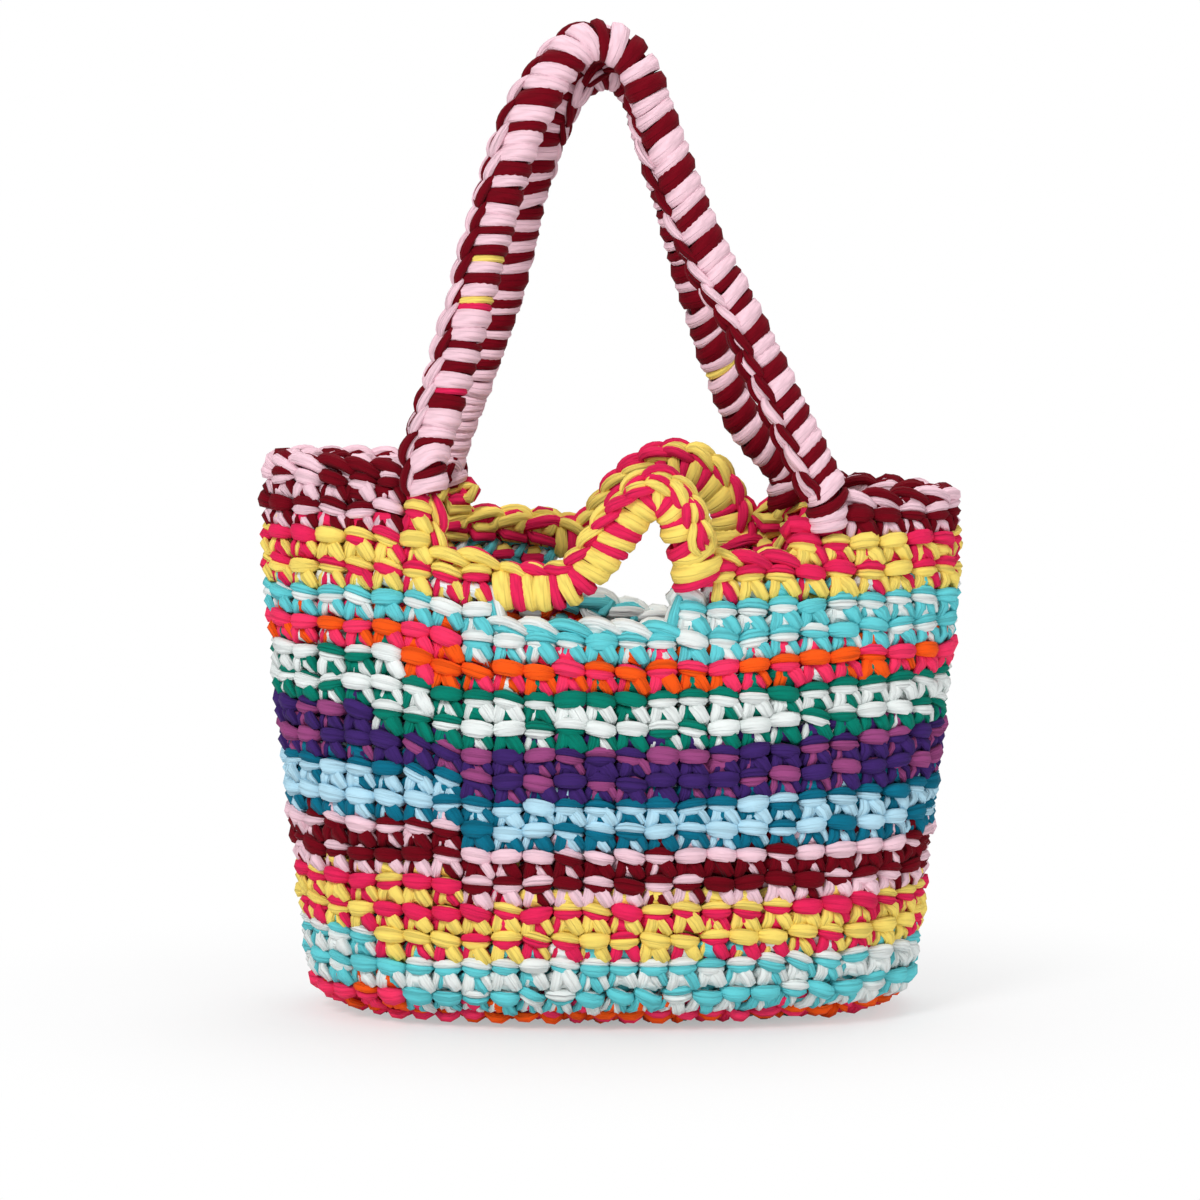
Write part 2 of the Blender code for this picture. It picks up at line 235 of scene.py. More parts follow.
def noise(tree, vector, scale, detail, distortion=0.0):
    pattern = tree.nodes.new("ShaderNodeTexNoise")
    pattern.inputs["Scale"].default_value = scale
    pattern.inputs["Detail"].default_value = detail
    pattern.inputs["Distortion"].default_value = distortion
    tree.links.new(vector, pattern.inputs["Vector"])
    return pattern.outputs["Fac"]


def stretched_noise(tree, vector, stretch, detail, distortion=0.0):
    mapping = tree.nodes.new("ShaderNodeMapping")
    mapping.inputs["Scale"].default_value = stretch
    tree.links.new(vector, mapping.inputs["Vector"])
    return noise(tree, mapping.outputs["Vector"], 1.0, detail, distortion)


def tones(tree, pattern, edges, darkest, lightest):
    """A pattern's values between two edges, as tones."""
    ramp = tree.nodes.new("ShaderNodeMapRange")
    ramp.inputs["From Min"].default_value = edges[0]
    ramp.inputs["From Max"].default_value = edges[1]
    ramp.inputs["To Min"].default_value = darkest
    ramp.inputs["To Max"].default_value = lightest
    tree.links.new(pattern, ramp.inputs["Value"])
    return ramp.outputs["Result"]


def bump(tree, height, strength, distance):
    relief = tree.nodes.new("ShaderNodeBump")
    relief.inputs["Strength"].default_value = strength
    relief.inputs["Distance"].default_value = distance
    tree.links.new(height, relief.inputs["Height"])
    return relief


def yarn(name, colour, painted_shade):
    """One colour of jersey yarn. Its last argument is the tone of the painted shade inside its
    folds.
    """
    material = bpy.data.materials.new(name)
    material.use_nodes = True
    tree = material.node_tree
    cloth = tree.nodes["Principled BSDF"]
    cloth.inputs["Roughness"].default_value = 0.78
    cloth.inputs["Specular IOR Level"].default_value = 0.09
    cloth.inputs["Sheen Weight"].default_value = 0.03
    cloth.inputs["Sheen Roughness"].default_value = 0.45

    coords = tree.nodes.new("ShaderNodeTexCoord")
    fold_bump_and_shade = stretched_noise(tree, coords.outputs["UV"], FOLD_STRETCH, detail=3.0, distortion=0.6)
    ribs = stretched_noise(tree, coords.outputs["UV"], RIB_STRETCH, detail=2.0)
    patches = noise(tree, coords.outputs["Object"], PATCH_SCALE, detail=2.0)

    # The dye is scaled by painted shade, darker inside the folds, and by a random tone in patches.
    tone = tree.nodes.new("ShaderNodeMath")
    tone.operation = "MULTIPLY"
    tree.links.new(tones(tree, fold_bump_and_shade, FOLD_PAINTED_SHADE_EDGES, painted_shade, 1.0), tone.inputs[0])
    tree.links.new(tones(tree, patches, (0.0, 1.0), *PATCH_TONES), tone.inputs[1])
    dye = tree.nodes.new("ShaderNodeVectorMath")
    dye.operation = "SCALE"
    dye.inputs[0].default_value = colour
    tree.links.new(tone.outputs["Value"], dye.inputs["Scale"])
    tree.links.new(dye.outputs["Vector"], cloth.inputs["Base Color"])

    deep = bump(tree, fold_bump_and_shade, 0.9, FOLD_DEPTH)
    fine = bump(tree, ribs, 0.25, RIB_DEPTH)
    tree.links.new(deep.outputs["Normal"], fine.inputs["Normal"])
    tree.links.new(fine.outputs["Normal"], cloth.inputs["Normal"])
    return material

# %% [markdown]
# ## The colours
#
# Thirteen yarns make the bag, two at a time. Their colours are written as a screen shows them.
# The painted shade inside the folds is lighter on the palest yarns.

# %% Yarn colours
DYES = {
    "burgundy": (114, 0, 20), "pink": (248, 208, 220), "yellow": (255, 227, 114),
    "magenta": (236, 38, 92), "turquoise": (104, 212, 220), "white": (238, 244, 242),
    "orange": (255, 92, 22), "hot_pink": (255, 56, 104), "green": (0, 128, 108),
    "purple": (64, 38, 108), "mauve": (158, 74, 130), "teal": (8, 112, 140),
    "light_blue": (186, 227, 245),
}
# Tone of the painted shade inside the folds, and a lighter one for the palest yarns.
FOLD_PAINTED_SHADE = 0.74
PALE_PAINTED_SHADES = {"pink": 0.80, "white": 0.80, "light_blue": 0.78}


def linear(colour):
    """A colour as a screen shows it, turned into the light that Blender counts in."""
    parts = [part / 255 for part in colour]
    return tuple(p / 12.92 if p < 0.04045 else ((p + 0.055) / 1.055) ** 2.4 for p in parts)


YARNS = {dye: yarn("jersey_" + dye, linear(colour), PALE_PAINTED_SHADES.get(dye, FOLD_PAINTED_SHADE))
         for dye, colour in DYES.items()}
print(len(YARNS), "yarns")

# %% [markdown]
# ## The wall as a map
#
# The bag's wall is a surface with two directions: stitches along the round and rows up the
# wall. The same formulas shape the solids, so yarn that is laid out on this map lands on
# them. From the side, the fabric leaves the base in a quarter circle and goes straight up.

# %% Outline of the wall
ROW_HEIGHT = 0.0158
WALL_ROWS = 19
BASE_MIDDLE_HEIGHT = 0.009
BASE_EDGE_RADIUS = 0.022
QUARTER_ARC = BASE_EDGE_RADIUS * math.pi / 2
WALL_TOP = BASE_MIDDLE_HEIGHT + BASE_EDGE_RADIUS + WALL_ROWS * ROW_HEIGHT - QUARTER_ARC


def meridian(rows):
    """Height of the fabric's middle at a row, and how far it lies inside the wall's oval."""
    length = rows * ROW_HEIGHT
    if length <= 0:
        return BASE_MIDDLE_HEIGHT, BASE_EDGE_RADIUS - length
    if length < QUARTER_ARC:
        angle = length / BASE_EDGE_RADIUS
        rise = BASE_EDGE_RADIUS * (1 - math.cos(angle))
        return BASE_MIDDLE_HEIGHT + rise, BASE_EDGE_RADIUS * (1 - math.sin(angle))
    return BASE_MIDDLE_HEIGHT + BASE_EDGE_RADIUS + length - QUARTER_ARC, 0.0


print("wall from", BASE_MIDDLE_HEIGHT, "to", round(WALL_TOP, 3), "m")

# %% [markdown]
# ## The shape of a round
#
# From above, a round is an oval: narrow and rather square at the base, deeper half way up, and
# drawn in at the sides of the rim. One formula gives them all, an ellipse whose sine and cosine
# are raised to a power. The stitches are counted off along it, from the seam on the front.

# %% Shape of a round
STITCHES_PER_ROUND = 50
SEAM_FROM_MIDDLE = 0.101
BASE_HALF_WIDTH = 0.166
BASE_HALF_DEPTH = 0.075
BASE_SQUARENESS = 2.5
SIDE_FLARE = 0.031
BELLY = 0.014
RIM_HALF_DEPTH = 0.052
RIM_SQUARENESS = 2.0
RIM_TUCK = 0.006
TUCK_FROM = 0.8
OVAL_SAMPLES = 721


def oval(share):
    """Half width, half depth and squareness at a share of the wall's height."""
    tuck = RIM_TUCK * max(0.0, (share - TUCK_FROM) / (1 - TUCK_FROM)) ** 2
    half_width = BASE_HALF_WIDTH + SIDE_FLARE * share - tuck
    half_depth = BASE_HALF_DEPTH * (1 - share) + RIM_HALF_DEPTH * share
    half_depth += BELLY * 4 * share * (1 - share)
    return half_width, half_depth, BASE_SQUARENESS * (1 - share) + RIM_SQUARENESS * share


def ring_of_places(half_width, half_depth, squareness, stitches):
    """Places round an oval, at these stitches from the seam."""
    angles = np.linspace(-math.pi, math.pi, OVAL_SAMPLES)
    across, facing = np.sin(angles), np.cos(angles)
    x = half_width * np.sign(across) * np.abs(across) ** (2 / squareness)
    y = -half_depth * np.sign(facing) * np.abs(facing) ** (2 / squareness)
    lengths = np.concatenate([[0.0], np.cumsum(np.hypot(np.diff(x), np.diff(y)))])
    whole = lengths[-1]
    place = (whole / 2 - SEAM_FROM_MIDDLE + stitches / STITCHES_PER_ROUND * whole) % whole
    return np.interp(place, lengths, x), np.interp(place, lengths, y)


print("half the rim:", oval(1.0)[:2])

# %% [markdown]
# ## Rounds that hang lower
#
# Rounds made by hand don't lie level. The loose rounds under the front grip hang up to 8 mm
# lower, which the solids leave out, and the back edge up to 26 mm between the feet of its
# handle. Both fade out smoothly.

# %% Rounds that hang lower
FRONT_SAG_ROWS = (7.0, 9.0, 11.0, 12.5, 14.0, 15.5, 17.0)
FRONT_SAG = (0.0, 0.0045, 0.0080, 0.0080, 0.0066, 0.0075, 0.0)
FRONT_SAG_STITCHES = (-1.5, 1.5, 8.0, 16.0)
FRONT_SAG_SHARE = (0.0, 1.0, 0.9, 0.0)
BACK_SAG = 0.026
BACK_SAG_STITCH = 28.5
BACK_SAG_SPREAD = 7
BACK_SAG_ROW = 15.6
BACK_SAG_FADE_ROWS = 4


def front_sag(stitches, rows):
    """How much lower the yarn hangs round the front slot."""
    from_seam = (stitches + STITCHES_PER_ROUND / 2) % STITCHES_PER_ROUND - STITCHES_PER_ROUND / 2
    window = np.interp(from_seam, FRONT_SAG_STITCHES, FRONT_SAG_SHARE)
    return window ** 2 * (3 - 2 * window) * np.interp(rows, FRONT_SAG_ROWS, FRONT_SAG)


def back_sag(stitches, rows):
    """How much lower the back hangs between the feet of its handle."""
    apart = np.clip((stitches - BACK_SAG_STITCH) / BACK_SAG_SPREAD, -1, 1)
    window = np.cos(apart * math.pi / 2) ** 2
    if rows <= BACK_SAG_ROW:
        return BACK_SAG * window * max(0.0, rows / BACK_SAG_ROW) ** 2
    return BACK_SAG * window * max(0.0, 1 - (rows - BACK_SAG_ROW) / BACK_SAG_FADE_ROWS) ** 2


print("the back hangs", back_sag(BACK_SAG_STITCH, BACK_SAG_ROW), "m lower")

# %% [markdown]
# ## One table for every place
#
# A table of points, four to a stitch and four to a row, is worked out once, and any place on
# the wall is then read from it by interpolation, together with the directions along, up and
# outwards. The whole top is also a little lower on its right.

# %% Wall table
LEAN = 0.006
FIRST_ROW = -5.0
LAST_ROW = 20.5
STEP = 0.25
LOOK = 0.3

table_rows = np.arange(FIRST_ROW, LAST_ROW + STEP / 2, STEP)
table_stitches = np.arange(0, STITCHES_PER_ROUND + STEP / 2, STEP)
WALL = np.zeros((len(table_rows), len(table_stitches), 3))
for index, rows in enumerate(table_rows):
    height, inset = meridian(rows)
    share = (height - BASE_MIDDLE_HEIGHT) / (WALL_TOP - BASE_MIDDLE_HEIGHT)
    half_width, half_depth, squareness = oval(share)
    x, y = ring_of_places(half_width - inset, half_depth - inset, squareness, table_stitches)
    z = height - LEAN * share * x / half_width - back_sag(table_stitches, rows)
    z = z - front_sag(table_stitches, rows)
    WALL[index] = np.stack([x, y, z], axis=1)


def wall_point(stitches, rows):
    """Middle of the fabric at these stitches and rows, read from the table."""
    across = (stitches % STITCHES_PER_ROUND) / STEP
    up = (rows - FIRST_ROW) / STEP
    left = np.clip(np.floor(across).astype(int), 0, len(table_stitches) - 2)
    low = np.clip(np.floor(up).astype(int), 0, len(table_rows) - 2)
    right_share = (across - left)[..., None]
    high_share = (up - low)[..., None]
    bottom = WALL[low, left] * (1 - right_share) + WALL[low, left + 1] * right_share
    top = WALL[low + 1, left] * (1 - right_share) + WALL[low + 1, left + 1] * right_share
    return bottom * (1 - high_share) + top * high_share


def unit(vectors):
    """The same directions, with a length of one."""
    return vectors / np.maximum(np.linalg.norm(vectors, axis=-1, keepdims=True), 1e-9)


def wall_frame(stitches, rows):
    """Place on the wall, and the directions along the round, up the wall and outwards."""
    place = wall_point(stitches, rows)
    along = unit(wall_point(stitches + LOOK, rows) - wall_point(stitches - LOOK, rows))
    up = unit(wall_point(stitches, rows + LOOK) - wall_point(stitches, rows - LOOK))
    outward = unit(np.cross(along, up))
    return place, along, np.cross(outward, along), outward


print("wall table:", WALL.shape, "top of the rim at", round(float(WALL[:, :, 2].max()), 3), "m")

# %% [markdown]
# ## A strand from a flat grid
#
# A strand could be a curve with a round bevel, but a curve twists on its own, and jersey yarn
# has a flat and a narrow side. So each strand starts as a flat grid. Its long edges are brought
# together round the path and merged, as a paper strip is rolled into a straw.

# %% Rolling a strand
SIDES = 6
TOUCHING = 1e-6
laid = []


def roll_strand(bm, centre, side, out, wide, thick, slot):
    """Roll a grid up round a path. wide and thick are half the strand's two breadths."""
    rings = len(centre)
    before = len(bm.faces)
    made = bmesh.ops.create_grid(bm, x_segments=rings - 1, y_segments=SIDES, size=1, calc_uvs=True)
    flat = np.array([corner.co for corner in made["verts"]])
    low, high = flat.min(axis=0), flat.max(axis=0)
    ring = np.rint((flat[:, 0] - low[0]) / (high[0] - low[0]) * (rings - 1)).astype(int)
    turn = (flat[:, 1] - low[1]) / (high[1] - low[1]) * 2 * math.pi
    places = centre[ring] + side[ring] * (wide[ring] * np.sin(turn))[:, None]
    places = places - out[ring] * (thick[ring] * np.cos(turn))[:, None]
    for corner, place in zip(made["verts"], places):
        corner.co = place
    bm.faces.ensure_lookup_table()
    for face in bm.faces[before:]:
        face.material_index = slot
        face.smooth = True
    laid.append((before, len(bm.faces), rings))
    bmesh.ops.remove_doubles(bm, verts=made["verts"], dist=TOUCHING)

# %% [markdown]
# ## A finished piece of yarn
#
# A grid's UV map runs from 0 to 1 however long the strand is, so U is stretched to count its
# rings, and folds are as large on long strands as on short ones. The list laid has each strand's
# faces and rings for that. Every piece rides on the bag's one body.

# %% Finishing a piece
UV_VALUES_PER_FACE = 4 * 2


def start_yarn():
    """An empty mesh with room for a UV map."""
    bm = bmesh.new()
    bm.loops.layers.uv.new("UVMap")
    return bm


def finish_yarn(name, bm, colours, slot):
    """Close the strands' ends, turn their faces out and make the piece an object."""
    open_edges = [edge for edge in bm.edges if edge.is_boundary]
    bmesh.ops.holes_fill(bm, edges=open_edges, sides=SIDES)
    bmesh.ops.recalc_face_normals(bm, faces=bm.faces[:])
    mesh = bpy.data.meshes.new(name)
    bm.to_mesh(mesh)
    bm.free()
    layer = mesh.uv_layers[0]
    spread = np.empty(len(mesh.loops) * 2, dtype=np.float32)
    layer.uv.foreach_get("vector", spread)
    for start, end, rings in laid:
        spread[start * UV_VALUES_PER_FACE:end * UV_VALUES_PER_FACE:2] *= rings
    laid.clear()
    layer.uv.foreach_set("vector", spread)
    for colour in colours:
        mesh.materials.append(YARNS[colour])
    piece = bpy.data.objects.new(name, mesh)
    bpy.context.scene.collection.objects.link(piece)
    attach(piece, "root")
    print(name, "faces", len(mesh.polygons))
    return piece

# %% [markdown]
# ## One stitch
#
# A single crochet seen from its wrong side has a fat bar across the top, two legs below it
# like an upside-down V, and the leaf of the loop that the next row is worked into. The path is
# one stitch of that yarn: across in stitches, up in rows from the bar, outwards in millimetres
# from the middle of the fabric, and the strand's thickness, as a share. It is drawn in where it
# dives between the loops, and full behind them.

# %% Path of a stitch
STITCH_PATH = np.array([
    (-0.48, -0.12, -2.5, 0.75),
    (-0.20, -0.10, -0.5, 0.78),
    (-0.20, -0.26, 3.2, 0.82),
    (-0.25, -0.46, 4.5, 0.88),
    (-0.31, -0.66, 3.4, 0.82),
    (-0.31, -0.83, -0.5, 0.70),
    (-0.05, -0.74, -6.2, 1.30),
    (0.30, -0.82, -6.0, 1.20),
    (0.42, -0.80, 0.0, 0.80),
    (0.36, -0.64, 4.0, 0.98),
    (0.22, -0.43, 5.2, 1.10),
    (0.06, -0.24, 3.4, 0.90),
    (-0.03, -0.06, -1.0, 0.74),
    (-0.40, 0.35, -6.0, 1.30),
    (-0.58, 0.52, -2.2, 1.00),
    (-0.36, 0.62, 0.0, 1.00),
    (-0.05, 0.54, 2.1, 1.15),
    (0.22, 0.38, 0.9, 0.94),
    (0.46, 0.20, -2.4, 0.75),
    (0.15, 0.02, -6.4, 1.35),
    (-0.42, -0.06, -5.2, 1.20),
    (-0.46, 0.00, 0.3, 0.60),
    (-0.36, 0.02, 3.6, 0.92),
    (-0.16, 0.03, 5.6, 1.16),
    (0.10, 0.01, 5.8, 1.18),
    (0.32, -0.02, 4.2, 0.96),
    (0.45, -0.04, 0.6, 0.60),
])
STITCH_MM = np.array([17.7, 15.8, 1.0])
CARRY = 0.25
LIE_FLAT = 1.5


def path_sides(points, millimetres):
    """Forward and sideways directions of a looped path whose strand lies flat."""
    size = points * millimetres
    step = np.array([millimetres[0], 0.0, 0.0])
    looped = np.vstack([size[-1] - step, size, size[0] + step])
    ahead = unit(looped[2:] - looped[:-2])
    side = np.array([0.0, 1.0, 0.0])
    sides = np.zeros_like(ahead)
    for lap in range(2):
        for index, forward in enumerate(ahead):
            carried = unit(side - forward * side.dot(forward))
            level = np.cross((0.0, 0.0, 1.0), forward)
            if level.dot(carried) < 0:
                level = -level
            side = unit(carried * CARRY + level * LIE_FLAT)
            side = unit(side - forward * side.dot(forward))
            sides[index] = side
    return ahead, sides


AHEAD, SIDE = path_sides(STITCH_PATH[:, :3], STITCH_MM)
print("points in a stitch:", len(STITCH_PATH), "faces of a strand:", len(STITCH_PATH) * SIDES)

# %% [markdown]
# ## Two strands that trade places
#
# Two colours run side by side through every stitch. Which one shows depends on how the pair
# lies: one above the other, or one in front of the other. So each stitch draws a turn for its
# bar, its two legs and its leaf. Every round has its own weights for these turns, which gives
# the stripes of mixed colour that the real bag has.

# %% Turns of the pair
TURNS = {"first": 90, "first_over": 0, "second_over": 180, "second": 270}
TURN_SCATTER = 14


def draw_turns(rng, weights, count):
    """Turns of the pair, in degrees, drawn with these weights."""
    kinds = list(weights)
    shares = np.array([weights[kind] for kind in kinds], dtype=float)
    picks = rng.choice(len(kinds), size=count, p=shares / shares.sum())
    return np.array([TURNS[kinds[pick]] for pick in picks]) + rng.normal(0, TURN_SCATTER, count)

# %% [markdown]
# ## Rolling both strands
#
# The sine of the turn says how far a strand lies in front of the other one, and its cosine how
# far beside it. Jersey is soft, so the strand in front spreads, and the one behind is squeezed
# narrow. The sizes are in millimetres, for a strand of full thickness.

# %% Rolling both strands
FLAT_HALF = 2.45
FRONT_HALF = 4.3
BACK_HALF = 2.2
DEPTH_HALF = 3.1
FRONT_DEPTH_HALF = 2.5
PAIR_ASIDE = 2.15
PAIR_IN_FRONT = 1.9
SIGN_SLOPE = 1.6


def soft_sign(values):
    """Plus or minus one, with a smooth change in between, so that no strand jumps."""
    return np.clip(values * SIGN_SLOPE, -1, 1)


def turned(directions, frame):
    """A path's own directions, turned to the frame of each of its points."""
    first, second, third = frame
    parts = np.tile(directions, (len(first) // len(directions), 1))
    return unit(first * parts[:, :1] + second * parts[:, 1:2] + third * parts[:, 2:])


def roll_pair(bm, centre, side, out, size, turns, face_out, face_up=1.0):
    """Both strands along one path."""
    for slot, way in enumerate((1, -1)):
        front = np.clip(way * np.sin(turns), 0, 1) ** 2
        behind = np.clip(-way * np.sin(turns), 0, 1) ** 2
        half = FLAT_HALF + (FRONT_HALF - FLAT_HALF) * front + (BACK_HALF - FLAT_HALF) * behind
        thick = (DEPTH_HALF + (FRONT_DEPTH_HALF - DEPTH_HALF) * (front + behind)) * size
        beside = side * (way * np.cos(turns) * PAIR_ASIDE * size * face_up)[:, None]
        ahead = out * (way * np.sin(turns) * PAIR_IN_FRONT * size * face_out)[:, None]
        roll_strand(bm, centre + beside + ahead, side, out, half * size, thick, slot)

# %% [markdown]
# ## A run of stitches
#
# Every stitch follows the same path, but no two look the same: the legs, the leaf and the bar
# are each shifted a little, the bar tilts, and the yarn is fatter or thinner. The stitches of
# a run make one line, whose two ends are tucked in behind the fabric.

# %% A run of stitches
LEGS, LEAF, BAR = slice(1, 12), slice(13, 19), slice(20, 27)
TURN_PARTS = (("bar", slice(19, 27)), ("leg", slice(0, 6)), ("leg", slice(6, 13)),
              ("leaf", slice(13, 19)))
SHIFTS = ((LEGS, 0.035), (LEAF, 0.03), (BAR, 0.03))
SHIFT_DEPTH = 12
TILT_MEAN, TILT_SCATTER = -0.03, 0.15
FAT_SCATTER = 0.06
FIRST_STITCH_FAT = 1.15
TUCKED_START = (-0.10, -0.20, -5.5)
TUCKED_END = (0.40, -0.10, -4.0)
ALONG_COUNTS = 0.9


def lay_pair(bm, numbers, habits, rng, place_on):
    """Both strands of the yarn through a run of stitches of the spiral."""
    count = len(numbers)
    turns = np.zeros((count, len(STITCH_PATH)))
    for index, number in enumerate(numbers):
        row_habit = habits(number)
        for key, part in TURN_PARTS:
            turns[index, part] = draw_turns(rng, row_habit[key], 1)[0]
    shift = np.zeros((count, len(STITCH_PATH), 3))
    for group, amount in SHIFTS:
        shift[:, group] += rng.normal(0, amount, (count, 1, 3)) * (1, 1, SHIFT_DEPTH)
    tilt = rng.normal(TILT_MEAN, TILT_SCATTER, (count, 1))
    shift[:, BAR, 1] += tilt * STITCH_PATH[None, BAR, 0]
    fat = 1 + rng.normal(0, FAT_SCATTER, (count, 1))
    fat[0] = FIRST_STITCH_FAT
    local = STITCH_PATH[None, :, :3] + shift
    local[0, 0], local[-1, -1] = TUCKED_START, TUCKED_END

    start = np.array(numbers, dtype=float)[:, None] + 0.5
    stitches = (start + local[:, :, 0]).reshape(-1)
    depth = local[:, :, 2].reshape(-1) / 1000
    place, along, up, outward = place_on(stitches, local[:, :, 1].reshape(-1))
    side = turned(SIDE, (along, up, outward))
    out = turned(np.cross(AHEAD, SIDE), (along, up, outward))
    size = (STITCH_PATH[None, :, 3] * fat).reshape(-1) / 1000
    face_out = soft_sign((out * outward).sum(axis=1))
    face_up = soft_sign((side * up).sum(axis=1) + ALONG_COUNTS * (side * along).sum(axis=1))
    roll_pair(bm, place + outward * depth[:, None], side, out, size,
              np.radians(turns).reshape(-1), face_out, face_up)

# %% [markdown]
# ## On the wall, clear of the floor
#
# The bag is a spiral, so a round climbs by one row. The lowest stitches are fatter than the
# solids' edge and would reach into the floor, so they are drawn in a little.

# %% Places on the spiral
BAR_LINE = 0.60
FLOOR_GAP = 0.0028
FLOOR_GAP_ROWS = 1.5


def clear_frame(stitches, rows):
    """The wall's frame, drawn in a little near the floor."""
    place, along, up, outward = wall_frame(stitches, rows)
    share = np.clip(1 - rows / FLOOR_GAP_ROWS, 0, 1)[:, None]
    return place - outward * share * FLOOR_GAP, along, up, outward


def on_wall(stitches, rises):
    """The frame of a place on the spiral, at this rise from the bars."""
    return clear_frame(stitches, stitches / STITCHES_PER_ROUND + BAR_LINE + rises)


print("drawn in by", FLOOR_GAP, "m")

# %% [markdown]
# ## Habits of the rounds
#
# A habit has weights for a round's bars, legs and leaves: in one round the light
# yarn lies on top of nearly every bar, in the next either of the two may show.

# %% Habits of the rounds
MIXED = {"first": 1, "first_over": 2, "second_over": 2, "second": 1}
ONE_OR_OTHER = {"first": 3, "first_over": 1, "second_over": 1, "second": 3}
MOSTLY_FIRST = {"first": 5, "first_over": 2, "second_over": 1}
MOSTLY_SECOND = {"second": 5, "second_over": 2, "first_over": 1}
OFTEN_FIRST = {"first": 3, "first_over": 3, "second_over": 1, "second": 2}
OFTEN_SECOND = {"second": 3, "second_over": 1, "first_over": 1, "first": 2}
FIRST_ON_TOP = {"first_over": 6, "first": 1, "second_over": 1, "second": 1}
SECOND_UNDER = {"second": 3, "first_over": 4}
SECOND_ON_TOP = {"second_over": 6, "second": 1, "first_over": 1}
EITHER_PETAL = {"first": 1, "second": 1}
FIRST_PETAL = {"first": 5, "second": 1}
SECOND_PETAL = {"second": 5, "first": 1}


def habit(bar, leg, leaf=FIRST_PETAL):
    return {"bar": bar, "leg": leg, "leaf": leaf}

# %% [markdown]
# ## The bands
#
# Every colour band is worked into the one below it. Each has its first stitch along the spiral
# and the one after its last, its two yarns with their colour slot, and its rounds' habits.

# %% The bands
ORANGE = ("orange", "hot_pink", "yarn_orange")
TURQUOISE = ("turquoise", "white", "yarn_turquoise")
YELLOW = ("yellow", "magenta", "yarn_yellow")
BURGUNDY = ("burgundy", "pink", "yarn_burgundy")
BANDS = [
    ("band_orange_lower", -25, 49, ORANGE,
     [habit(MIXED, ONE_OR_OTHER, EITHER_PETAL), habit(MOSTLY_SECOND, ONE_OR_OTHER, EITHER_PETAL)]),
    ("band_turquoise_lower", 49, 148, TURQUOISE,
     [habit(MOSTLY_FIRST, MIXED, SECOND_PETAL), habit(SECOND_ON_TOP, MOSTLY_SECOND)]),
    ("band_yellow_lower", 148, 251, YELLOW,
     [habit(MOSTLY_FIRST, ONE_OR_OTHER, SECOND_PETAL), habit(SECOND_UNDER, MOSTLY_FIRST)]),
    ("band_burgundy_lower", 251, 351, BURGUNDY,
     [habit(MOSTLY_FIRST, MOSTLY_SECOND), habit(MOSTLY_SECOND, MOSTLY_FIRST, EITHER_PETAL)]),
    ("band_blue", 351, 451, ("teal", "light_blue", "yarn_blue"),
     [habit(OFTEN_SECOND, MOSTLY_FIRST), habit(FIRST_ON_TOP, MOSTLY_SECOND)]),
    ("band_purple", 451, 548, ("purple", "mauve", "yarn_purple"),
     [habit(ONE_OR_OTHER, MOSTLY_FIRST), habit(OFTEN_FIRST, MOSTLY_FIRST)]),
    ("band_green", 548, 649, ("green", "white", "yarn_turquoise"),
     [habit(MOSTLY_SECOND, MOSTLY_FIRST), habit(FIRST_ON_TOP, MOSTLY_SECOND)]),
    ("band_orange_upper", 649, 701, ORANGE, [habit(ONE_OR_OTHER, ONE_OR_OTHER, EITHER_PETAL)]),
]


def lay_band(node, runs, yarns, rounds, seed):
    """One colour band: its two yarns through all its runs of stitches."""
    rng = np.random.default_rng(seed)
    start = runs[0][0]

    def habits(number):
        return rounds[min((number - start) // STITCHES_PER_ROUND, len(rounds) - 1)]

    bm = start_yarn()
    for first, end in runs:
        lay_pair(bm, range(first, end), habits, rng, on_wall)
    *colours, slot = yarns
    piece = finish_yarn(node + "_yarn", bm, colours, slot)
    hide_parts(node)


for seed, (node, start, end, yarns, rounds) in enumerate(BANDS, start=1):
    lay_band(node, [(start, end)], yarns, rounds, seed)

# %% [markdown]
# ## The rounds beside the slots
#
# At the hand slots the spiral has gaps: the hook follows the grip's rope across them. So these
# bands are runs of stitches, still numbered along the one spiral. The highest are the posts
# that the handles stand on, and the two side rims.

# %% Upper bands
BESIDE_SLOTS = habit(MIXED, MOSTLY_FIRST, SECOND_PETAL)
RIM_HABIT = habit(MIXED, MIXED)

lay_band("band_turquoise_upper", [(701, 752), (758, 777), (783, 791)], TURQUOISE,
         [habit(FIRST_ON_TOP, MOSTLY_FIRST, SECOND_PETAL)], seed=21)
lay_band("band_yellow_upper_left", [(791, 802), (833, 850), (886, 891), (899, 900)], YELLOW,
         [BESIDE_SLOTS], seed=22)
lay_band("band_yellow_upper_right", [(809, 826), (862, 876)], YELLOW, [BESIDE_SLOTS], seed=23)
lay_band("rim_left", [(891, 899), (937, 949)], BURGUNDY, [RIM_HABIT], seed=24)
lay_band("rim_right", [(914, 924)], BURGUNDY, [RIM_HABIT], seed=25)

# %% [markdown]
# ## A chain of loops
#
# Wherever crochet has an open edge, its top is a chain: each loop comes up through the one
# before it, as a braid of V shapes. The path of one loop goes forwards along one arm, round the
# tip and back along the other. It is counted in loops along the edge, and in millimetres across
# it and out of it, with the thickness last.

# %% Path of a loop
LOOP_CORNERS = np.array([
    (-0.02, -0.4, -3.2, 0.70),
    (0.10, -1.0, 1.2, 0.85),
    (0.36, -2.4, 3.6, 1.05),
    (0.72, -3.9, 3.0, 1.12),
    (1.08, -4.4, 0.9, 0.98),
    (1.36, -2.8, -1.8, 0.80),
    (1.44, 0.0, -2.8, 0.70),
    (1.36, 2.8, -1.8, 0.80),
    (1.08, 4.4, 0.9, 0.98),
    (0.72, 3.9, 3.0, 1.12),
    (0.36, 2.4, 3.6, 1.05),
    (0.10, 1.0, 1.2, 0.85),
    (0.02, 0.4, -3.2, 0.70),
    (0.46, 0.0, -4.8, 0.75),
])
LOOP_STEPS = 2


